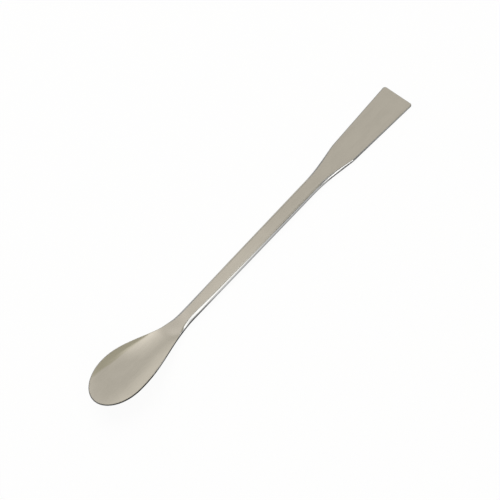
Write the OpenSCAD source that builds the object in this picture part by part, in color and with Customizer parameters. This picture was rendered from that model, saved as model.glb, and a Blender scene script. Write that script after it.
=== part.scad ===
// Lab spatula in one piece of stainless steel: a spoon bowl at one end, a slender
// handle, and a flared flat blade at the other end.
//
// Sizes are in millimetres. Along the tool, x is counted from the bowl's tip to the
// blade's end. Z is up, and the handle and the blade lie flat on Z = 0 with the bowl
// raised above it. The finished tool has its origin under the middle of its length.
//
// The tool is one loft. Each cross-section starts as a line on the underside, which
// is straight in the handle and the blade and hollow in the bowl. It is thickened
// straight up, so its two sides stand upright, and its four long edges are rounded.

/* [Bowl] */
// Length from the tip to the widest place
bowl_front = 15; // [8:0.5:30]
// Length from the widest place back to the neck
bowl_back = 38.5; // [25:0.5:60]
// Width over the rim at the widest place
bowl_w = 19.1; // [12:0.1:30]
// Depth from the rim to the lowest place of the underside
bowl_depth = 3.3; // [1.5:0.1:5]
// Length from the tip to the place where the hollow reaches its full depth
bowl_deep_at = 21; // [10:0.5:30]
// Thickness of the bowl's wall, measured upright
bowl_wall = 0.8; // [0.6:0.1:1.5]
// Height of the bowl's underside above the surface that the tool lies on
bowl_lift = 4.9; // [0:0.1:8]
// Length from the tip over which the rim stays level, before it comes down to the neck
rim_level = 13; // [0:0.5:20]
// Fullness of the hollow: 2 is a parabola, and more is flatter with steeper sides
bowl_fullness = 2; // [2:0.1:3]
// Rounding of the rim's edges
rim_edge_r = 0.2; // [0.1:0.05:0.5]

/* [Handle] */
// Length from the neck to the corner where the flare starts
handle_len = 77; // [40:0.5:140]
// Width at the neck, the narrowest place
neck_w = 5.2; // [4:0.1:8]
// Width where the flare starts
handle_w = 5.8; // [4:0.1:9]
// Thickness at the neck
neck_t = 2.7; // [1.8:0.1:4]
// Thickness where the flare starts
handle_t = 2.4; // [1.6:0.1:4]
// Length over which the bowl's wall thickens into the neck
neck_run = 14.5; // [10:0.5:30]
// Rounding of the handle's edges
handle_edge_r = 0.3; // [0.2:0.05:0.9]

/* [Blade] */
// Length of the flare, from the handle to the shoulder
flare_len = 15; // [10:0.5:30]
// Length of the hollow curve that leads from the handle into the flare
flare_blend = 13; // [4:0.5:14]
// Width at the shoulder, where the blade starts
shoulder_w = 10.5; // [9:0.1:12]
// Thickness at the shoulder
shoulder_t = 1.3; // [1:0.1:2]
// Length of the curve that softens the shoulder
shoulder_blend = 1.5; // [0.5:0.5:4]
// Length of the blade, from the shoulder to the end
blade_len = 34.5; // [20:0.5:70]
// Width at the end
blade_w = 13.7; // [12.5:0.1:18]
// Thickness at the end
blade_t = 0.8; // [0.5:0.1:1.2]
// Rounding of the blade's long edges
blade_edge_r = 0.3; // [0.1:0.05:0.5]
// Rounding of the two corners at the end
corner_r = 1; // [0.4:0.1:4]

/* [Hidden] */
// Places along the tool
neck_x = bowl_front + bowl_back;
flare_x = neck_x + handle_len;
shoulder_x = flare_x + flare_len;
overall_len = shoulder_x + blade_len;

// Largest share of a thickness that an edge rounding may take, so a flat is left
edge_share = 0.45;
// Largest share of the half width that an edge rounding may take
inset_share = 0.3;
// How far the loft runs past the end before it is cut off, and the cut past the loft
overrun = 1;

// Numbers of steps in the loft
front_steps = 14;
back_steps = 26;
handle_steps = 4;
flare_steps = 12;
shoulder_steps = 6;
blade_steps = 4;
edge_steps = 4;
flat_steps = 16;
corner_steps = 6;

// Eases from 1 at q = 0 down to 0 at q = 1, and stays level beyond
function ease(q) = (1 + cos(180 * min(max(q, 0), 1))) / 2;

// Rises as d from d = 0, with that corner rounded over the length run
function ramp(d, run) =
    d <= -run / 2 ? 0 :
    d >= run / 2 ? d :
    pow(d + run / 2, 2) / (2 * run);

// A size that runs straight between its values at the neck, the start of the flare,
// the shoulder and the end, with rounded corners between the straights
function along_bar(x, at_neck, at_flare, at_shoulder, at_end) =
    let (
        handle_slope = (at_flare - at_neck) / handle_len,
        flare_slope = (at_shoulder - at_flare) / flare_len,
        blade_slope = (at_end - at_shoulder) / blade_len
    )
    at_neck
    + handle_slope * (x - neck_x)
    + (flare_slope - handle_slope) * ramp(x - flare_x, flare_blend)
    + (blade_slope - flare_slope) * ramp(x - shoulder_x, shoulder_blend);

function bar_half_width(x) = along_bar(x, neck_w, handle_w, shoulder_w, blade_w) / 2;

function bar_thickness(x) = along_bar(x, neck_t, handle_t, shoulder_t, blade_t);

// How far x lies in front of the widest place: 0 there and behind it, 1 at the tip
function front_share(x) = max(1 - x / bowl_front, 0);

// Share of the width that is left at x in front of the widest place, on an ellipse
function ellipse_share(x) = sqrt(1 - pow(front_share(x), 2));

// Outline in plan: half an ellipse in front of the widest place, and behind it a
// soft S-curve down to the width of the bar
function half_width(x) =
    x < bowl_front
    ? bowl_w / 2 * ellipse_share(x)
    : bar_half_width(x)
      + (bowl_w / 2 - bar_half_width(bowl_front)) * ease((x - bowl_front) / bowl_back);

// How far the bowl has come down towards the neck: 1 at the tip, 0 at the neck
function bowl_share(x) = ease((x - rim_level) / (neck_x - rim_level));

// Height of the rim's lower edge
function rim_height(x) = (bowl_lift + bowl_depth) * bowl_share(x);

// How far the hollow has opened: 0 at the tip, 1 from its deepest place on
function hollow_share(x) = 1 - pow(max(1 - x / bowl_deep_at, 0), 2);

// Depth of the hollow at x below the rim, along the middle
function hollow(x) = bowl_depth * bowl_share(x) * hollow_share(x);

// Wall of the bowl, thickening into the bar before the neck
function thickness(x) =
    bowl_wall + (bar_thickness(x) - bowl_wall) * (1 - ease((x - neck_x + neck_run) / neck_run));

function edge_radius(x) =
    min(edge_share * thickness(x), lookup(x, [
        [neck_x - neck_run, rim_edge_r],
        [neck_x, handle_edge_r],
        [flare_x, handle_edge_r],
        [shoulder_x, blade_edge_r]
    ]));

// Point of the underside at x, with u from -1 at one edge to 1 at the other
function underside(x, u) = [
    x,
    u * half_width(x),
    rim_height(x) - hollow(x) * (1 - pow(abs(u), bowl_fullness))
];

// Columns of a cross-section from one edge to the other. Each is [u, inset of the
// face], where the inset rounds the edges and is 0 in between.
function columns(x) =
    let (
        radius = edge_radius(x),
        inset_u = min(radius / half_width(x), inset_share),
        edge = [
            for (k = [0:edge_steps])
                let (a = 90 * k / edge_steps)
                [1 - inset_u * (1 - cos(a)), radius * (1 - sin(a))]
        ]
    )
    concat(
        [for (c = edge) [-c[0], c[1]]],
        [for (m = [1:flat_steps - 1]) [(2 * m / flat_steps - 1) * (1 - inset_u), 0]],
        [for (k = [edge_steps:-1:0]) edge[k]]
    );

// Closed cross-section at x: the underside from one edge to the other, then back
// along the upper face
function section(x) =
    let (cols = columns(x), t = thickness(x))
    concat(
        [for (c = cols) underside(x, c[0]) + [0, 0, c[1]]],
        [
            for (k = [len(cols) - 1:-1:0])
                underside(x, cols[k][0]) + [0, 0, t - cols[k][1]]
        ]
    );

// Evenly spaced places after from, up to and including to
function places(from, to, steps) = [for (i = [1:steps]) from + (to - from) * i / steps];

// Places of the cross-sections, closest where the outline turns fastest
stations = concat(
    [for (i = [0:front_steps - 1]) bowl_front * (1 - cos(90 * (i + 0.5) / front_steps))],
    [bowl_front],
    places(bowl_front, neck_x, back_steps),
    places(neck_x, flare_x - flare_blend / 2, handle_steps),
    places(flare_x - flare_blend / 2, flare_x + flare_blend / 2, flare_steps),
    places(flare_x + flare_blend / 2, shoulder_x - shoulder_blend / 2, 1),
    places(shoulder_x - shoulder_blend / 2, shoulder_x + shoulder_blend / 2, shoulder_steps),
    places(shoulder_x + shoulder_blend / 2, overall_len + overrun, blade_steps)
);

// Solid skin over cross-sections of n points each, where points k and n - 1 - k lie
// opposite each other on the two faces
module loft(sections) {
    n = len(sections[0]);
    last = n * (len(sections) - 1);
    side_faces = [
        for (s = [0:len(sections) - 2], k = [0:n - 1])
            let (a = s * n + k, b = s * n + (k + 1) % n)
            each [[a, a + n, b + n], [a, b + n, b]]
    ];
    end_faces = [
        for (k = [0:n / 2 - 2])
            let (a = k, b = k + 1, c = n - 2 - k, d = n - 1 - k)
            each [
                [a, b, c],
                [a, c, d],
                [last + c, last + b, last + a],
                [last + d, last + c, last + a]
            ]
    ];
    polyhedron(points = [for (s = sections) each s], faces = concat(side_faces, end_faces));
}

// What is cut away past the end of the blade, which leaves it square with two
// rounded corners
module end_cut() {
    corner_x = overall_len - corner_r;
    corner_y = blade_w / 2 - corner_r;
    corner = [
        for (k = [0:corner_steps])
            let (a = 90 * k / corner_steps)
            [corner_x + corner_r * sin(a), corner_y + corner_r * cos(a)]
    ];
    linear_extrude(height = 2 * (shoulder_t + overrun), center = true)
        polygon(concat(
            [[corner_x, blade_w]],
            corner,
            [for (k = [corner_steps:-1:0]) [corner[k][0], -corner[k][1]]],
            [
                [corner_x, -blade_w],
                [overall_len + 2 * overrun, -blade_w],
                [overall_len + 2 * overrun, blade_w]
            ]
        ));
}

module spatula() {
    color([0.71, 0.68, 0.63])
        translate([-overall_len / 2, 0, 0])
            difference() {
                loft([for (x = stations) section(x)]);
                end_cut();
            }
}

spatula();
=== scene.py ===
"""Lab spatula in brushed stainless steel: an oval spoon bowl, a slender handle and a flared
flat blade, all one piece of metal.

Sizes are in metres. The tool lies along X with the bowl's tip at the low end, Y runs across
it and Z is up. Along the tool, x is counted from the tip of the bowl to the blade's end.
"""

import math

import bpy
import numpy as np
from bpy.props import FloatProperty, FloatVectorProperty, IntProperty, PointerProperty
from mathutils import Matrix, Vector


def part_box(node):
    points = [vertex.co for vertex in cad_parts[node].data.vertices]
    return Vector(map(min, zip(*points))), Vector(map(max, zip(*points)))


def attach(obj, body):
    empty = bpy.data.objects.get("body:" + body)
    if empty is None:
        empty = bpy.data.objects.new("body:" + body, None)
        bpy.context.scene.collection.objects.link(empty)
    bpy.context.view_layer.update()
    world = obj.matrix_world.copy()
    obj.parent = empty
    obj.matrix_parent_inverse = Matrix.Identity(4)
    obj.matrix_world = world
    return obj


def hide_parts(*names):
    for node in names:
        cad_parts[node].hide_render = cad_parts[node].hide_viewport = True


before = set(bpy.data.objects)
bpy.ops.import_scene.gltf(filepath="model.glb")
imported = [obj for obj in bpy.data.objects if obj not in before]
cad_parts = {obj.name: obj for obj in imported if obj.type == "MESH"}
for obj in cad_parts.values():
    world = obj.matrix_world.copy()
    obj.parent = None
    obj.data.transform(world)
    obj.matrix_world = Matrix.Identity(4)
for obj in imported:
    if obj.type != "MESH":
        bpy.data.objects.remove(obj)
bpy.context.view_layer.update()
BLADE_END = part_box("spatula")[1].x

bl_info = {
    "name": "Lab spatula",
    "version": (1, 0, 0),
    "blender": (4, 5, 0),
    "location": "3D View > Sidebar > Lab spatula",
    "description": "Builds a stainless lab spatula with a spoon bowl and a flat blade",
    "category": "Add Mesh",
}

# The tool's length, with its middle over the origin
OVERALL_LEN = 2 * BLADE_END

# Lengths that make it up, from the bowl's tip to the blade's end
BOWL_FRONT = 0.015
BOWL_BACK = 0.0385
HANDLE_LEN = 0.077
FLARE_LEN = 0.015
BLADE_LEN = OVERALL_LEN - BOWL_FRONT - BOWL_BACK - HANDLE_LEN - FLARE_LEN


def metres(name, description, default):
    """Property for a length in metres."""
    return FloatProperty(
        name=name,
        description=description,
        default=default,
        min=0.0,
        precision=5,
        unit="LENGTH",
        subtype="DISTANCE",
    )


def share(name, description, default):
    """Property for a share from 0 to 1."""
    return FloatProperty(
        name=name, description=description, default=default, min=0.0, max=1.0, subtype="FACTOR"
    )


def number(name, description, default):
    """Property for a plain number, such as a strength."""
    return FloatProperty(name=name, description=description, default=default, min=0.0)


def count(name, description, default, least):
    """Property for a number of steps."""
    return IntProperty(name=name, description=description, default=default, min=least)


def angle(name, description, degrees):
    """Property for an angle, given in degrees."""
    return FloatProperty(
        name=name,
        description=description,
        default=math.radians(degrees),
        unit="ROTATION",
        subtype="ANGLE",
    )


def colour(name, description, default):
    """Property for a colour."""
    return FloatVectorProperty(
        name=name, description=description, default=default, min=0.0, max=1.0, subtype="COLOR"
    )


def point(name, description, default):
    """Property for a place, in metres."""
    return FloatVectorProperty(
        name=name, description=description, default=default, subtype="XYZ", unit="LENGTH"
    )


class BowlSizes(bpy.types.PropertyGroup):
    """Sizes of the spoon bowl."""

    front: metres("Front", "Length from the tip to the widest place", BOWL_FRONT)
    back: metres("Back", "Length from the widest place back to the neck", BOWL_BACK)
    width: metres("Width", "Width over the rim at the widest place", 0.0191)
    depth: metres("Depth", "Depth from the rim to the lowest place of the underside", 0.0033)
    deep_at: metres("Deepest at", "Length from the tip to where the hollow is deepest", 0.021)
    wall: metres("Wall", "Thickness of the bowl's wall, measured upright", 0.0008)
    lift: metres("Lift", "Height of the bowl's underside above the bench", 0.0049)
    rim_level: metres("Level rim", "Length from the tip over which the rim stays level", 0.013)
    fullness: number("Fullness", "2 is a parabola, and more is flatter with steeper sides", 2.0)
    edge_r: metres("Edge rounding", "Rounding of the rim's edges", 0.00012)


class HandleSizes(bpy.types.PropertyGroup):
    """Sizes of the handle."""

    length: metres("Length", "Length from the neck to the start of the flare", HANDLE_LEN)
    neck_w: metres("Neck width", "Width at the neck, the narrowest place", 0.0052)
    width: metres("Width", "Width where the flare starts", 0.0058)
    neck_t: metres("Neck thickness", "Thickness at the neck", 0.0027)
    thickness: metres("Thickness", "Thickness where the flare starts", 0.0024)
    neck_run: metres("Neck run", "Length over which the bowl's wall thickens", 0.0145)
    edge_r: metres("Edge rounding", "Rounding of the handle's edges", 0.0003)
    neck_upper_r: metres("Neck upper rounding", "Rounding of the upper edges at the neck", 0.00085)
    upper_r: metres("Upper rounding", "Rounding of the upper edges where the flare starts", 0.0007)
    upper_start: metres("Upper start", "Length in front of the neck where it grows", 0.007)
    upper_blend: metres("Upper blend", "Length over which the upper rounding grows", 0.0025)
    upper_taper: metres("Upper taper", "Length in front of the shoulder where it shrinks", 0.007)
    bevel: share("Bevel", "How flat the upper rounding is at the neck and the flare", 0.75)
    bevel_run: metres("Bevel run", "Length from the neck over which it becomes round", 0.03)


class BladeSizes(bpy.types.PropertyGroup):
    """Sizes of the flare and the blade."""

    flare_len: metres("Flare length", "Length from the handle to the shoulder", FLARE_LEN)
    flare_blend: metres("Flare blend", "Length of the curve that leads into the flare", 0.013)
    shoulder_w: metres("Shoulder width", "Width at the shoulder, where the blade starts", 0.0105)
    shoulder_t: metres("Shoulder thickness", "Thickness at the shoulder", 0.0013)
    shoulder_blend: metres("Shoulder blend", "Length of the curve at the shoulder", 0.0015)
    length: metres("Blade length", "Length from the shoulder to the end", BLADE_LEN)
    width: metres("End width", "Width at the end of the blade", 0.0137)
    thickness: metres("End thickness", "Thickness at the end of the blade", 0.0008)
    edge_r: metres("Edge rounding", "Rounding of the blade's long edges", 0.0003)
    end_edge_r: metres("End rounding", "Rounding of the edges across the end", 0.00015)
    corner_r: metres("Corner rounding", "Rounding of the two corners at the end", 0.001)


class MeshSteps(bpy.types.PropertyGroup):
    """How finely the surface is divided."""

    across: count("Across", "Rows from the middle to an edge", 20, 4)
    tip: count("Tip", "Lines around each half of the tip", 28, 6)
    bowl: count("Bowl", "Sections behind the bowl's widest place", 96, 8)
    handle: count("Handle", "Sections along the handle", 24, 2)
    flare: count("Flare", "Sections around the bend where the flare starts", 16, 2)
    flare_side: count("Flare side", "Sections along the straight part of the flare", 2, 1)
    shoulder: count("Shoulder", "Sections around the bend at the shoulder", 8, 2)
    blade: count("Blade", "Sections along the blade", 16, 2)
    corner: count("Corner", "Steps around a corner of the blade", 10, 2)
    edge: count("Edge", "Steps around a rounded edge", 8, 2)


class SteelFinish(bpy.types.PropertyGroup):
    """Finish of the steel."""

    tone: colour("Colour", "Colour of the steel", (0.78, 0.745, 0.685))
    roughness: share("Roughness", "Roughness of the satin faces", 0.17)
    bowl_roughness: share("Bowl roughness", "Roughness inside the bowl, which is polished more", 0.10)
    edge_roughness: share("Edge roughness", "Roughness of the edges, which wear smooth", 0.10)
    grain_len: metres("Grain length", "Length of the fine lines that brushing leaves", 0.014)
    grain_w: metres("Grain width", "Width of the fine lines that brushing leaves", 0.00016)
    grain_depth: metres("Grain depth", "Depth of the fine lines that brushing leaves", 0.0000012)
    grain_change: share("Grain change", "How much the roughness changes over the fine lines", 0.10)
    band_len: metres("Band length", "Length of the bands where brushing was heavier", 0.045)
    band_w: metres("Band width", "Width of the bands where brushing was heavier", 0.0011)
    band_change: share("Band change", "How much the roughness changes over the bands", 0.06)
    band_share: share("Band share", "How far the tone follows the bands, not the clouds", 0.4)
    cloud_len: metres("Cloud length", "Length of the soft clouds in the tone", 0.006)
    cloud_w: metres("Cloud width", "Width of the soft clouds in the tone", 0.003)
    lightest: number("Lightest", "Lightest tone, as a share of the colour", 1.06)
    darkest: number("Darkest", "Darkest tone, as a share of the colour", 0.87)
    edge_tone: number("Edge tone", "Tone of the edges, as a share of the colour", 1.03)
    edge_share: share("Edge share", "How far the edges take their own tone", 0.5)


class StudioSet(bpy.types.PropertyGroup):
    """Camera, floor and light."""

    view_turn: angle("View turn", "Angle of the tool to the picture's right, seen from above", 50.86)
    view_tilt: angle("View tilt", "Height of the camera above the horizon", 58.57)
    distance: metres("Distance", "Distance from the camera to the tool", 1.5)
    focal_mm: number("Focal length", "Focal length of the lens, in millimetres", 287.26)
    aim: point("Aim", "Place at the middle of the picture", (-0.00034, 0.00015, 0.0009))
    floor_half: metres("Floor", "Half the side of the floor", 4.0)
    white: colour("White", "Colour of the floor", (0.95, 0.95, 0.95))
    ceiling: colour("Ceiling", "Colour of the studio's ceiling", (0.554, 0.535, 0.488))
    walls: colour("Walls", "Colour of the studio's walls", (0.706, 0.682, 0.622))
    corner: colour("Corner", "Colour of the studio's dark corner", (0.43, 0.415, 0.335))
    corner_foot: colour("Corner foot", "Colour of the corner near the floor", (0.03, 0.03, 0.03))
    lamp_place: point("Lamp", "The lamp's place to the right, away and up", (-0.5, 0.6, 1.3))
    lamp_size: metres("Lamp size", "Side of the square lamp", 1.2)
    lamp_power: number("Lamp power", "Power of the lamp, in watts", 12.0)
    card: colour("Card", "Colour of the soft cards", (1.0, 0.965, 0.90))


def ease(part):
    """Goes from 1 at part 0 down to 0 at part 1, and stays level beyond."""
    return (1 + math.cos(math.pi * min(max(part, 0.0), 1.0))) / 2


def ramp(past, run):
    """Rises as past from 0, with that corner rounded over the length run."""
    if past <= -run / 2:
        return 0.0
    if past >= run / 2:
        return past
    return (past + run / 2) ** 2 / (2 * run)


def between(x, stops):
    """Runs straight from stop to stop, each a place and the value there."""
    places, values = zip(*stops)
    return float(np.interp(x, places, values))


class Form:
    """The tool's shape, as heights and widths along it."""

    # Distance to each side over which the slope of the outline is taken
    PROBE = 1e-6

    def __init__(self, bowl, handle, blade):
        self.bowl = bowl
        self.handle = handle
        self.blade = blade
        self.neck_x = bowl.front + bowl.back
        self.flare_x = self.neck_x + handle.length
        self.shoulder_x = self.flare_x + blade.flare_len
        self.end_x = self.shoulder_x + blade.length

    def along_bar(self, x, at_neck, at_flare, at_shoulder, at_end):
        """A size that runs straight between four places, with rounded corners between."""
        handle_slope = (at_flare - at_neck) / self.handle.length
        flare_slope = (at_shoulder - at_flare) / self.blade.flare_len
        blade_slope = (at_end - at_shoulder) / self.blade.length
        into_flare = ramp(x - self.flare_x, self.blade.flare_blend)
        into_blade = ramp(x - self.shoulder_x, self.blade.shoulder_blend)
        return (
            at_neck
            + handle_slope * (x - self.neck_x)
            + (flare_slope - handle_slope) * into_flare
            + (blade_slope - flare_slope) * into_blade
        )

    def bar_half_width(self, x):
        """Half the width of the bar, without the bowl."""
        handle, blade = self.handle, self.blade
        return self.along_bar(x, handle.neck_w, handle.width, blade.shoulder_w, blade.width) / 2

    def bar_thickness(self, x):
        """Thickness of the bar, without the bowl."""
        handle, blade = self.handle, self.blade
        return self.along_bar(x, handle.neck_t, handle.thickness, blade.shoulder_t, blade.thickness)

    def half_width(self, x):
        """Half the width of the tool."""
        if x < self.bowl.front:
            return self.bowl.width / 2 * math.sqrt(1 - (1 - x / self.bowl.front) ** 2)
        spread = self.bowl.width / 2 - self.bar_half_width(self.bowl.front)
        return self.bar_half_width(x) + spread * ease((x - self.bowl.front) / self.bowl.back)

    def side_slope(self, x):
        """Growth of the half width along the tool."""
        return (self.half_width(x + self.PROBE) - self.half_width(x - self.PROBE)) / (2 * self.PROBE)

    def bowl_share(self, x):
        """How far the bowl has come down towards the neck: 1 at the tip, 0 at the neck."""
        return ease((x - self.bowl.rim_level) / (self.neck_x - self.bowl.rim_level))

    def hollow(self, x):
        """Depth of the hollow below the rim, along the middle."""
        opened = 1 - max(1 - x / self.bowl.deep_at, 0.0) ** 2
        return self.bowl.depth * self.bowl_share(x) * opened

    def height(self, x, y):
        """Height of the underside."""
        rim_height = self.bowl_share(x) * (self.bowl.lift + self.bowl.depth)
        if x <= 0:
            return rim_height
        rim_share = min(abs(y) / self.half_width(x), 1.0)
        return rim_height - self.hollow(x) * (1 - rim_share**self.bowl.fullness)

    def thickness(self, x):
        """Thickness of the bowl's wall, growing into the bar before the neck."""
        neck_share = 1 - ease((x - self.neck_x + self.handle.neck_run) / self.handle.neck_run)
        return self.bowl.wall + (self.bar_thickness(x) - self.bowl.wall) * neck_share

    def raised(self, x, y, lift):
        """Point in the frame at a height above the underside."""
        return Vector((x - self.end_x / 2, y, self.height(x, y) + lift))

    def edge_radius(self, x):
        """Rounding of the lower long edges."""
        stops = (
            (self.neck_x - self.handle.neck_run, self.bowl.edge_r),
            (self.neck_x, self.handle.edge_r),
            (self.flare_x, self.handle.edge_r),
            (self.shoulder_x, self.blade.edge_r),
        )
        return between(x, stops)

    def upper_radius(self, x):
        """Rounding of the upper long edges."""
        handle = self.handle
        grows, half = self.neck_x - handle.upper_start, handle.upper_blend / 2
        stops = (
            (self.neck_x - handle.neck_run, self.bowl.edge_r),
            (grows - half, handle.edge_r),
            (grows + half, handle.neck_upper_r),
            (self.neck_x, handle.neck_upper_r),
            (self.flare_x, handle.upper_r),
            (self.shoulder_x - handle.upper_taper, handle.upper_r),
            (self.shoulder_x, self.blade.edge_r),
        )
        return between(x, stops)

    def bevel(self, x):
        """How flat the upper rounding is: 0 for round, 1 for a flat bevel."""
        on_bar = 1 - self.bowl_share(x)
        at_neck = ease((x - self.neck_x) / self.handle.bevel_run)
        at_flare = ease((self.flare_x - x) / self.blade.flare_blend * 2)
        return self.handle.bevel * on_bar * (at_neck + at_flare)


class Rim:
    """A place on the outline: where it is, which way is out, and how far its edges are rounded."""

    # Largest share of the thickness that an edge rounding may take
    LARGEST = 0.45

    # Distance over which the slope at the rim is taken
    PROBE = 1e-5

    def __init__(self, form, x, y, out, radius, upper=None):
        self.form = form
        self.x = x
        self.y = y
        self.out = out
        self.thickness = form.thickness(x)
        self.radius = min(radius, self.LARGEST * self.thickness)
        self.upper = min(upper or radius, self.LARGEST * self.thickness)
        self.slope = (form.height(x, y) - form.height(*self.inside(self.PROBE))) / self.PROBE

        # How far the upper side leans in, and the lower side out, from the outline
        self.lean = self.thickness * self.slope / (1 + self.slope**2) / 2

    def mirrored(self):
        """The same place on the other side of the tool."""
        out = (self.out[0], -self.out[1])
        return Rim(self.form, self.x, -self.y, out, self.radius, self.upper)

    def inside(self, inset):
        """Place in plan at a distance in from the outline."""
        return self.x - self.out[0] * inset, self.y - self.out[1] * inset

    def start(self):
        """Place in plan where the upper face meets the rounded edge."""
        return self.inside(self.upper + self.lean)

    def leaning(self, inset, lift):
        """Point of the edge, which leans so that it stands square to the bowl's wall."""
        inset += self.lean * (2 * lift / self.thickness - 1)
        x, y = self.inside(inset)
        rim_height = self.form.height(self.x, self.y)
        return Vector((x - self.form.end_x / 2, y, rim_height - self.slope * inset + lift))

    def profile(self, steps):
        """Points round the edge, from the upper face to the lower one."""
        turns = [math.pi / 2 * k / steps for k in range(1, steps + 1)]
        rounding = [(1 - math.sin(turn), 1 - math.cos(turn)) for turn in turns]

        # A bevel moves the upper points to the straight line between the rounding's ends
        bevel = self.form.bevel(self.x)
        upper = []
        for k, (inset, drop) in enumerate(rounding, 1):
            inset += (1 - k / steps - inset) * bevel
            drop += (k / steps - drop) * bevel
            upper.append((self.upper * inset, self.thickness - self.upper * drop))
        lower = [(self.radius * inset, self.radius * rise) for inset, rise in reversed(rounding)]
        return [self.leaning(inset, lift) for inset, lift in upper + lower]


def tip_rims(form, steps):
    """Outline of half the bowl's front, from the tip to the widest place."""
    bowl = form.bowl
    found = []
    for k in range(steps + 1):
        turn = math.pi / 2 * k / steps
        out = Vector((-math.cos(turn) / bowl.front, 2 * math.sin(turn) / bowl.width)).normalized()
        x = bowl.front * (1 - math.cos(turn))
        found.append(Rim(form, x, bowl.width / 2 * math.sin(turn), out, bowl.edge_r))
    return found


def spaced(start, stop, steps):
    """Evenly spaced places after start, up to and including stop."""
    return [start + (stop - start) * k / steps for k in range(1, steps + 1)]


def side_rims(form, steps):
    """Outline from behind the widest place to where the blade's corner starts."""
    blade = form.blade
    flare_start = form.flare_x - blade.flare_blend / 2
    flare_side = form.flare_x + blade.flare_blend / 2
    shoulder_start = form.shoulder_x - blade.shoulder_blend / 2
    blade_side = form.shoulder_x + blade.shoulder_blend / 2
    lean = math.atan(form.side_slope(form.end_x))
    corner_x = form.end_x - blade.corner_r * (1 + math.sin(lean))
    places = [
        *spaced(form.bowl.front, form.neck_x, steps.bowl),
        *spaced(form.neck_x, flare_start, steps.handle),
        *spaced(flare_start, flare_side, steps.flare),
        *spaced(flare_side, shoulder_start, steps.flare_side),
        *spaced(shoulder_start, blade_side, steps.shoulder),
        *spaced(blade_side, corner_x, steps.blade)[:-1],
    ]
    found = []
    for x in places:
        out = Vector((-form.side_slope(x), 1)).normalized()
        found.append(Rim(form, x, form.half_width(x), out, form.edge_radius(x), form.upper_radius(x)))
    return found


def corner_rims(form, steps):
    """Outline round the blade's corner, whose arc runs smoothly on from the side."""
    blade = form.blade
    slope = form.side_slope(form.end_x)
    start = -math.atan(slope)
    centre_x = form.end_x - blade.corner_r
    centre_y = blade.width / 2 - blade.corner_r * (slope + math.hypot(1, slope))
    found = []
    for k in range(steps + 1):
        turn = start + (math.pi / 2 - start) * k / steps
        out = (math.sin(turn), math.cos(turn))
        radius = blade.end_edge_r + (blade.edge_r - blade.end_edge_r) * ease(k / steps)
        x = centre_x + blade.corner_r * out[0]
        found.append(Rim(form, x, centre_y + blade.corner_r * out[1], out, radius))
    return found


class Skin:
    """Points and faces of the closed surface while it is built."""

    def __init__(self, form):
        self.form = form
        self.plan = []
        self.points = []
        self.faces = []

    def add_plan(self, x, y):
        """Adds a place that the upper and the lower face share, and returns its number."""
        self.plan.append((x, y))
        return len(self.plan) - 1

    def add_row(self, rim, shares):
        """Adds a row across the tool, from one edge's inner side to the other's."""
        x, y = rim.start()
        return [self.add_plan(x, y * part) for part in shares]

    def add_faces(self, first, second):
        """Joins two rows of places by faces, for the upper and the lower side. Rows that
        start in the same place start with a triangle."""
        for a, b, c, d in zip(first, first[1:], second[1:], second):
            corners = [a, d, c, b] if a != d else [a, c, b]
            self.faces.append([2 * n for n in corners])
            self.faces.append([2 * n + 1 for n in reversed(corners)])

    def raise_faces(self):
        """Turns the places in plan into points, the upper one first and the lower one next."""
        for x, y in self.plan:
            self.points.append(self.form.raised(x, y, self.form.thickness(x)))
            self.points.append(self.form.raised(x, y, 0.0))

    def add_band(self, loop, steps):
        """Closes the gap between the faces along the outline. Loop pairs each place on the
        outline with the number of the place inside it."""
        strips = []
        for rim, inner in loop:
            start = len(self.points)
            self.points.extend(rim.profile(steps))
            strips.append([2 * inner, *range(start, len(self.points)), 2 * inner + 1])
        for first, second in zip(strips, strips[1:] + strips[:1]):
            for a, b, c, d in zip(first, first[1:], second[1:], second):
                self.faces.append([a, b, c, d])


def skin_of(form, steps):
    """The tool's closed surface: two faces on one grid, and the band round their outline."""
    skin = Skin(form)

    # Shares of the way from the middle to an edge, closest together near the edge
    parts = [math.sin(math.pi / 2 * k / steps.across) for k in range(1, steps.across + 1)]
    shares = [-part for part in reversed(parts)] + [0.0] + parts
    tip = tip_rims(form, steps.tip)
    sides = [tip[-1], *side_rims(form, steps), *corner_rims(form, steps.corner)]
    rows = [skin.add_row(rim, shares) for rim in sides]
    for first, second in zip(rows, rows[1:]):
        skin.add_faces(first, second)

    # Lines fan out from the middle of the widest row to the rim in front of it
    middle = rows[0][steps.across]
    fan = [rim.mirrored() for rim in reversed(tip[1:-1])] + tip[:-1]
    lines = [rows[0][steps.across :: -1]]
    for rim in fan:
        x, y = rim.start()
        reach = [(form.bowl.front + (x - form.bowl.front) * part, y * part) for part in parts]
        lines.append([middle] + [skin.add_plan(*place) for place in reach])
    lines.append(rows[0][steps.across :])
    for first, second in zip(lines, lines[1:]):
        skin.add_faces(first, second)

    # The band runs round the tip, along the far side, across the end and back along the near side
    end = sides[-1]
    end_row = [Rim(form, end.x, end.y * part, (1.0, 0.0), end.radius) for part in shares[1:-1]]
    far = list(zip(sides, [row[-1] for row in rows]))
    near = list(zip([rim.mirrored() for rim in sides], [row[0] for row in rows]))
    across = list(zip(end_row, rows[-1][1:-1]))
    front = list(zip(fan, [line[-1] for line in lines[1:-1]]))
    skin.raise_faces()
    skin.add_band(front + far + across[::-1] + near[::-1], steps.edge)
    return skin


# Light that the steel mirrors as neutral white, since the steel itself is warm
COOL = (0.96, 1.0, 1.06)


def opaque(tone, strength=1.0):
    """A colour with its alpha, for a socket that takes four numbers."""
    return (*(strength * channel for channel in tone), 1.0)


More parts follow.
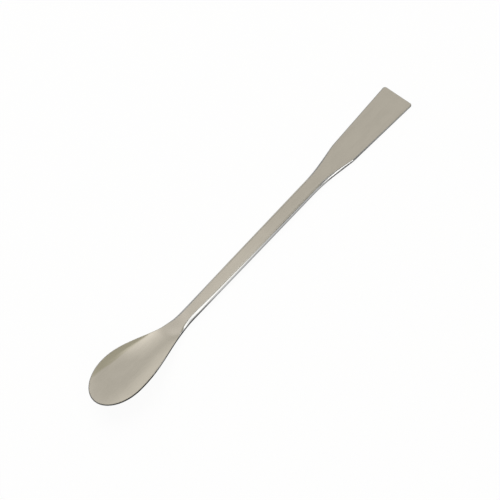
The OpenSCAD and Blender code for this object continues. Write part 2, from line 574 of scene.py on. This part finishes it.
class Value:
    """A shader socket that Python's operators work on."""

    def __init__(self, graph, socket):
        self.graph = graph
        self.socket = socket

    def maths(self, operation, first, second):
        """Vector Math where a vector takes part, and Math otherwise."""
        kinds = [side.socket.type for side in (first, second) if isinstance(side, Value)]
        kind = "ShaderNodeVectorMath" if "VECTOR" in kinds else "ShaderNodeMath"
        made = self.graph.add(kind, {"operation": operation}, {0: first, 1: second})
        return made[0]

    def __add__(self, other):
        return self.maths("ADD", self, other)

    def __radd__(self, other):
        return self.maths("ADD", other, self)

    def __sub__(self, other):
        return self.maths("SUBTRACT", self, other)

    def __rsub__(self, other):
        return self.maths("SUBTRACT", other, self)

    def __mul__(self, other):
        return self.maths("MULTIPLY", self, other)

    def __rmul__(self, other):
        return self.maths("MULTIPLY", other, self)


class Made:
    """A node that has been added, whose outputs are read by name or number."""

    def __init__(self, graph, node):
        self.graph = graph
        self.node = node

    def __getitem__(self, key):
        return Value(self.graph, self.node.outputs[key])


class Graph:
    """A node tree under construction."""

    def __init__(self, tree):
        self.tree = tree
        tree.nodes.clear()

    def add(self, kind, settings=None, sockets=None):
        """Adds a node, makes its settings, then fills its sockets with values or links."""
        node = self.tree.nodes.new(kind)
        for name, value in (settings or {}).items():
            if name == "stops":
                self.set_stops(node.color_ramp.elements, value)
            else:
                setattr(node, name, value)
        for key, value in (sockets or {}).items():
            if isinstance(value, Value):
                self.tree.links.new(value.socket, node.inputs[key])
            else:
                node.inputs[key].default_value = value
        return Made(self, node)

    @staticmethod
    def set_stops(elements, stops):
        """Gives a ramp its stops, each a place and a brightness."""
        while len(elements) < len(stops):
            elements.new(1.0)
        for element, (spot, strength) in zip(elements, stops):
            element.position = spot
            element.color = opaque(COOL, strength)

    def noise(self, place, detail, roughness):
        """Noise from 0 to 1 at places in units of its own size."""
        sockets = {"Vector": place, "Scale": 1.0, "Detail": detail, "Roughness": roughness}
        return self.add("ShaderNodeTexNoise", None, sockets)["Fac"]

    def fade(self, value, start, stop, low=0.0, high=1.0):
        """Goes smoothly from low where value is start to high where it is stop."""
        sockets = {"Value": value, "From Min": start, "From Max": stop, "To Min": low, "To Max": high}
        return self.add("ShaderNodeMapRange", {"interpolation_type": "SMOOTHSTEP"}, sockets)["Result"]

    def blend(self, factor, first, second, how="MIX"):
        """Mixes two colours."""
        settings = {"data_type": "RGBA", "blend_type": how}
        return self.add("ShaderNodeMix", settings, {0: factor, 6: first, 7: second})[2]

    def dot(self, first, second):
        """Dot product of two vectors."""
        made = self.add("ShaderNodeVectorMath", {"operation": "DOT_PRODUCT"}, {0: first, 1: second})
        return made["Value"]


# Name of the mark that tells the material where the rounded edges are
EDGE_MARK = "edge"


def new_material(name):
    """Empty material, and the graph that its nodes go into."""
    material = bpy.data.materials.new(name)
    material.use_nodes = True
    return material, Graph(material.node_tree)


def stretched(length_along, width):
    """Scale that gives a pattern its length along the tool and its width across it."""
    return (1 / length_along, 1 / width, 1 / width)


def steel_material(finish, form):
    """Stainless steel brushed along the tool, more polished in the bowl and on the edges."""
    material, graph = new_material("brushed_steel")
    place = graph.add("ShaderNodeTexCoord")["Object"]

    # Fine lines along the tool, wider bands where the brushing was heavier, and soft clouds
    grain = place * stretched(finish.grain_len, finish.grain_w)
    lines = graph.noise(grain, detail=2.0, roughness=0.55)
    bands = graph.noise(place * stretched(finish.band_len, finish.band_w), detail=2.0, roughness=0.5)
    cloud = graph.noise(place * stretched(finish.cloud_len, finish.cloud_w), detail=3.0, roughness=0.55)

    along = graph.dot(place, (1.0, 0.0, 0.0))
    neck = form.neck_x - form.end_x / 2
    in_bowl = graph.fade(along, neck, neck - form.bowl.back / 2)
    worn = graph.add("ShaderNodeAttribute", {"attribute_name": EDGE_MARK})["Fac"]

    lighter, darker = opaque(finish.tone, finish.lightest), opaque(finish.tone, finish.darkest)
    tone_mix = bands * finish.band_share + cloud * (1 - finish.band_share)
    streaked = graph.blend(tone_mix, lighter, darker)
    base = graph.blend(worn * finish.edge_share, streaked, opaque(finish.tone, finish.edge_tone))

    face = in_bowl * (finish.bowl_roughness - finish.roughness) + finish.roughness
    brushed = face + (lines - 0.5) * finish.grain_change + (bands - 0.5) * finish.band_change
    roughness = brushed + worn * (finish.edge_roughness - finish.roughness)

    relief = {"Strength": 1.0, "Distance": finish.grain_depth, "Height": lines}
    bump = graph.add("ShaderNodeBump", None, relief)["Normal"]
    metal = {"Base Color": base, "Metallic": 1.0, "Roughness": roughness, "Normal": bump}
    shader = graph.add("ShaderNodeBsdfPrincipled", None, metal)["BSDF"]
    graph.add("ShaderNodeOutputMaterial", None, {"Surface": shader})
    return material


def spatula_mesh(form, steps):
    """Mesh of the tool, with its rounded edges marked."""
    skin = skin_of(form, steps)
    mesh = bpy.data.meshes.new("spatula_body")
    mesh.from_pydata(skin.points, [], skin.faces)
    if mesh.validate():
        raise RuntimeError("the spatula's surface has faces that are not valid")
    mesh.shade_smooth()

    # Two points for each place in plan come first, and the points of the edges follow them
    on_faces = 2 * len(skin.plan)
    marks = [0.0] * on_faces + [1.0] * (len(skin.points) - on_faces)
    mesh.attributes.new(EDGE_MARK, "FLOAT", "POINT").data.foreach_set("value", marks)
    return mesh


class SPATULA_OT_body(bpy.types.Operator):
    """Builds the spatula as one smooth closed surface in brushed steel"""

    bl_idname = "spatula.body"
    bl_label = "Spatula"

    def execute(self, context):
        scene = context.scene
        form = Form(scene.spatula_bowl, scene.spatula_handle, scene.spatula_blade)
        mesh = spatula_mesh(form, scene.spatula_steps)
        mesh.materials.append(steel_material(scene.spatula_finish, form))
        body = bpy.data.objects.new("spatula_body", mesh)
        scene.collection.objects.link(body)
        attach(body, "root")
        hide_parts("spatula")
        return {"FINISHED"}


# Nearest and farthest distance that the camera sees
CAMERA_REACH = (0.05, 50.0)

# Share of the floor in the camera's view that is plain white. The rest is lit, and keeps
# the shadow.
PLAIN_SHARE = 0.95

# In the metal, the floor shows a painted strip of light along the tool, painted light that only
# mirrored rays see. Each stop is a place along it, from 0 at the tip to 1 at the end, and the painted
# brightness there.
STRIP_LIGHT = (
    (0.0, 0.15),
    (0.21, 0.15),
    (0.22, 0.08),
    (0.262, 0.08),
    (0.272, 0.45),
    (0.30, 0.45),
    (0.35, 0.75),
    (0.40, 0.9),
    (0.475, 0.85),
    (0.565, 0.75),
    (0.735, 0.7),
    (0.745, 0.5),
    (0.765, 0.35),
    (1.0, 0.35),
)

# The most that the strip glows on the tool's far side, and the glow of the floor around it
BEHIND_LIGHT = 0.5
AROUND_LIGHT = 0.05

# Half the strip's width, the soft edge beside it, and half the soft edge along its middle
STRIP_HALF = 0.030
STRIP_EDGE = 0.010
MIDDLE_EDGE = 0.001

# Painted contact shadow: the line of contact shows dark in the metal where the floor is this close to
# the tool
CONTACT_GAP = 0.0022
CONTACT_SAMPLES = 16

# How dark that painted contact shadow is at the neck, and how much darker it gets at the flare: two
# places along the tool, and the strength at each
NECK_CONTACT = (0.30, 0.38, 4.0, 1.2)
FLARE_CONTACT = (0.72, 0.75, 0.0, 1.5)

# Heights over the horizon, with 1 overhead: where the walls end and the ceiling starts, and
# where the dark corner's foot ends and its upper part starts
WALLS_END, CEILING_START = 0.14, 0.68
FOOT_END, UPPER_START = 0.10, 0.50

# The dark corner lies past a plane through the tool. The side points from that plane into
# the corner, as right, away and up, and the edge is half the width of the soft change there.
CORNER_SIDE = (1.0, -0.52, -0.71)
CORNER_EDGE = 0.02

# How brightly the cards beside the tool glow: places along the card and the brightness
NEAR_LIGHT = (
    (0.0, 0.0),
    (0.07, 1.35),
    (0.57, 1.35),
    (0.71, 1.0),
    (0.84, 0.65),
    (1.0, 0.42),
)
FAR_LIGHT = (
    (0.0, 0.0),
    (0.09, 1.8),
    (0.33, 1.8),
    (0.345, 0.01),
    (0.56, 0.01),
    (0.60, 0.42),
    (1.0, 0.40),
)
FLAG_LIGHT = (
    (0.0, 0.03),
    (1.0, 0.03),
)


def in_frame(studio, way):
    """Turns a vector given as right, away from the camera and up into the frame."""
    turn = studio.view_turn
    right = Vector((math.cos(turn), -math.sin(turn), 0))
    away = Vector((math.sin(turn), math.cos(turn), 0))
    return way[0] * right + way[1] * away + way[2] * Vector((0, 0, 1))


def add_camera(scene, studio):
    """Camera that looks down at the tool."""
    level, steep = math.cos(studio.view_tilt), math.sin(studio.view_tilt)
    right = in_frame(studio, (1, 0, 0))
    forward = in_frame(studio, (0, level, -steep))
    top = in_frame(studio, (0, steep, level))
    data = bpy.data.cameras.new("camera")
    data.lens = studio.focal_mm
    data.clip_start, data.clip_end = CAMERA_REACH
    camera = bpy.data.objects.new("camera", data)
    turned = Matrix((right, top, -forward)).transposed().to_4x4()
    spot = Vector(studio.aim) - studio.distance * forward
    camera.matrix_world = Matrix.Translation(spot) @ turned
    scene.collection.objects.link(camera)
    scene.camera = camera


def floor_material(studio):
    """Matt white that shows as white to the camera, with the shadow kept. In the metal it
    shows a painted strip of light along the tool, painted darker surroundings and a painted
    contact shadow."""
    material, graph = new_material("floor_with_painted_reflection")
    place = graph.add("ShaderNodeTexCoord")["Object"]
    along = graph.dot(place, (1 / OVERALL_LEN, 0.0, 0.0)) + 0.5
    across = graph.dot(place, (0.0, 1.0, 0.0))
    beside = graph.add("ShaderNodeMath", {"operation": "ABSOLUTE"}, {0: across})[0]
    # Painted reflection: a strip of light painted on the floor along the tool, seen only by mirrored
    # rays
    front = graph.add("ShaderNodeValToRGB", {"stops": STRIP_LIGHT}, {"Fac": along})["Color"]
    behind = graph.blend(1.0, front, opaque(COOL, BEHIND_LIGHT), how="DARKEN")
    strip = graph.blend(graph.fade(across, -MIDDLE_EDGE, MIDDLE_EDGE), front, behind)
    past_strip = graph.fade(beside, STRIP_HALF, STRIP_HALF + STRIP_EDGE)
    painted_strip = graph.blend(past_strip, strip, opaque((1, 1, 1), AROUND_LIGHT))

    # Painted contact shadow: ambient occlusion darkens the floor that the metal mirrors
    gap = {"Distance": CONTACT_GAP, "Color": opaque((1, 1, 1))}
    open_share = graph.add("ShaderNodeAmbientOcclusion", {"samples": CONTACT_SAMPLES}, gap)["AO"]
    depth = graph.fade(along, *NECK_CONTACT) + graph.fade(along, *FLARE_CONTACT)
    painted_contact_shadow = graph.add("ShaderNodeMath", {"operation": "POWER"}, {0: open_share, 1: depth})[0]
    mirrored = graph.blend(painted_contact_shadow, opaque((0, 0, 0)), painted_strip)

    path = graph.add("ShaderNodeLightPath")
    tone = graph.blend(path["Is Glossy Ray"], opaque((1, 1, 1)), mirrored)
    matt = graph.add("ShaderNodeBsdfDiffuse", None, {"Color": opaque(studio.white)})["BSDF"]
    white = graph.add("ShaderNodeEmission", None, {"Color": tone})["Emission"]
    glowing = path["Is Camera Ray"] * PLAIN_SHARE + path["Is Glossy Ray"]
    mixed = graph.add("ShaderNodeMixShader", None, {0: glowing, 1: matt, 2: white})
    graph.add("ShaderNodeOutputMaterial", None, {"Surface": mixed["Shader"]})
    return material


def sheet(scene, name, corners, material):
    """Flat sheet with four corners."""
    mesh = bpy.data.meshes.new(name)
    mesh.from_pydata(corners, [], [(0, 1, 2, 3)])
    mesh.materials.append(material)
    made = bpy.data.objects.new(name, mesh)
    scene.collection.objects.link(made)
    return made


def add_floor(scene, studio):
    """Wide plain floor that the tool lies on."""
    half = studio.floor_half
    corners = [(-half, -half, 0), (half, -half, 0), (half, half, 0), (-half, half, 0)]
    sheet(scene, "floor", corners, floor_material(studio))


def set_world(scene, studio):
    """Soft light from all around: a grey ceiling, pale walls and one dark corner."""
    world = bpy.data.worlds.new("studio")
    world.use_nodes = True
    graph = Graph(world.node_tree)
    look = graph.add("ShaderNodeTexCoord")["Generated"]

    height = graph.dot(look, (0.0, 0.0, 1.0))
    on_walls = graph.fade(height, CEILING_START, WALLS_END)
    room = graph.blend(on_walls, opaque(studio.ceiling), opaque(studio.walls))
    past_plane = graph.dot(look, tuple(in_frame(studio, CORNER_SIDE)))
    in_corner = graph.fade(past_plane, -CORNER_EDGE, CORNER_EDGE)
    at_foot = graph.fade(height, UPPER_START, FOOT_END)
    corner = graph.blend(at_foot, opaque(studio.corner), opaque(studio.corner_foot))
    shaded = graph.blend(in_corner, room, corner)

    path = graph.add("ShaderNodeLightPath")
    seen = graph.blend(path["Is Camera Ray"], shaded, opaque((1, 1, 1)))
    light = graph.add("ShaderNodeBackground", None, {"Color": seen, "Strength": 1.0})
    graph.add("ShaderNodeOutputWorld", None, {"Surface": light["Background"]})
    scene.world = world


def add_lamp(scene, studio):
    """Soft square lamp that points at the tool."""
    data = bpy.data.lights.new("key_lamp", "AREA")
    data.size = studio.lamp_size
    data.energy = studio.lamp_power
    lamp = bpy.data.objects.new("key_lamp", data)
    lamp.location = in_frame(studio, studio.lamp_place)
    lamp.rotation_mode = "QUATERNION"
    lamp.rotation_quaternion = (-lamp.location).to_track_quat("-Z", "Y")
    lamp.visible_camera = False
    lamp.visible_glossy = False
    scene.collection.objects.link(lamp)


def soft_material(tone, strength):
    """Soft glow that is full at the card's middle and fades out with the distance from it."""
    material, graph = new_material("soft_card")
    place = graph.add("ShaderNodeTexCoord")["Object"]
    reach = graph.add("ShaderNodeVectorMath", {"operation": "LENGTH"}, {0: place})["Value"]
    glow = graph.fade(reach, 1.0, 0.0)
    shine = {"Color": opaque(tone, strength)}
    light = graph.add("ShaderNodeEmission", None, shine)["Emission"]
    clear = graph.add("ShaderNodeBsdfTransparent")["BSDF"]
    mixed = graph.add("ShaderNodeMixShader", None, {0: glow, 1: clear, 2: light})
    graph.add("ShaderNodeOutputMaterial", None, {"Surface": mixed["Shader"]})
    return material


def side_material(stops):
    """Glow that changes along the card, whose own X runs from -1 to 1."""
    material, graph = new_material("side_card")
    place = graph.add("ShaderNodeTexCoord")["Object"]
    along = graph.dot(place, (0.5, 0.0, 0.0)) + 0.5
    shine = graph.add("ShaderNodeValToRGB", {"stops": stops}, {"Fac": along})["Color"]
    light = graph.add("ShaderNodeEmission", None, {"Color": shine})["Emission"]
    graph.add("ShaderNodeOutputMaterial", None, {"Surface": light})
    return material


def add_card(scene, name, material, middle, reach, near_ends=(-1, -1), upright=False):
    """Card that only the metal mirrors, with its middle and its reach to each side. The
    near ends are where its near edge starts and stops, in shares of the reach."""
    corners = [(-1, near_ends[0], 0), (1, near_ends[1], 0), (1, 1, 0), (-1, 1, 0)]
    card = sheet(scene, name, corners, material)
    card.location = middle
    card.scale = (*reach, 1.0)
    card.rotation_euler.x = math.pi / 2 if upright else 0.0
    card.visible_camera = False
    card.visible_diffuse = False
    card.visible_transmission = False
    card.visible_shadow = False


def add_soft_cards(scene, studio):
    """Two glowing cards that lie level: one high over the tool, and one low beside it."""
    add_card(
        scene,
        "high_card",
        soft_material(studio.card, strength=0.70),
        middle=(0.042, 0.147, 0.263),
        reach=(0.084, 0.26),
    )
    add_card(
        scene,
        "low_card",
        soft_material(studio.card, strength=1.67),
        middle=(0.021, -0.150, 0.070),
        reach=(0.073, 0.215),
        near_ends=(0.515, 0.655),
    )


def add_side_cards(scene):
    """Three upright cards beside the tool: a near one, a far one and a dark one at the bowl."""
    add_card(
        scene,
        "near_card",
        side_material(NEAR_LIGHT),
        middle=(0.03, -0.10, 0.04),
        reach=(0.03, 0.04),
        upright=True,
    )
    add_card(
        scene,
        "far_card",
        side_material(FAR_LIGHT),
        middle=(0.31, -0.60, 0.24),
        reach=(0.09, 0.24),
        upright=True,
    )
    add_card(
        scene,
        "dark_flag",
        side_material(FLAG_LIGHT),
        middle=(-0.056, -0.05, 0.025),
        reach=(0.034, 0.025),
        upright=True,
    )


class SPATULA_OT_stage(bpy.types.Operator):
    """Adds the floor, the soft light and the camera"""

    bl_idname = "spatula.stage"
    bl_label = "Stage"

    def execute(self, context):
        scene = context.scene
        studio = scene.spatula_studio
        scene.view_settings.view_transform = "Standard"
        add_camera(scene, studio)
        add_floor(scene, studio)
        set_world(scene, studio)
        add_lamp(scene, studio)
        add_soft_cards(scene, studio)
        add_side_cards(scene)
        return {"FINISHED"}


class SPATULA_PT_panel(bpy.types.Panel):
    """Lists the spatula's sizes and its operators."""

    bl_label = "Lab spatula"
    bl_idname = "SPATULA_PT_panel"
    bl_space_type = "VIEW_3D"
    bl_region_type = "UI"
    bl_category = "Lab spatula"

    def draw(self, context):
        for name, label, _ in GROUPS:
            box = self.layout.box()
            box.label(text=label)
            group = getattr(context.scene, name)
            for prop in group.bl_rna.properties.keys():
                if prop not in ("name", "rna_type"):
                    box.prop(group, prop)
        self.layout.operator(SPATULA_OT_body.bl_idname)
        self.layout.operator(SPATULA_OT_stage.bl_idname)


# The groups of settings: the name that the scene has for each, its label and its class
GROUPS = (
    ("spatula_bowl", "Bowl", BowlSizes),
    ("spatula_handle", "Handle", HandleSizes),
    ("spatula_blade", "Blade", BladeSizes),
    ("spatula_steps", "Mesh", MeshSteps),
    ("spatula_finish", "Steel", SteelFinish),
    ("spatula_studio", "Studio", StudioSet),
)
GROUP_CLASSES = [group for _, _, group in GROUPS]
CLASSES = (*GROUP_CLASSES, SPATULA_OT_body, SPATULA_OT_stage, SPATULA_PT_panel)


def register():
    """Registers the classes and gives the scene its settings."""
    for cls in CLASSES:
        bpy.utils.register_class(cls)
    for name, _, group in GROUPS:
        setattr(bpy.types.Scene, name, PointerProperty(type=group))


def unregister():
    """Takes the settings and the classes away again."""
    for name, _, _ in GROUPS:
        delattr(bpy.types.Scene, name)
    for cls in reversed(CLASSES):
        bpy.utils.unregister_class(cls)


def main():
    """Builds the spatula and its stage."""
    register()
    bpy.ops.spatula.body()
    bpy.ops.spatula.stage()


if __name__ == "__main__":
    main()
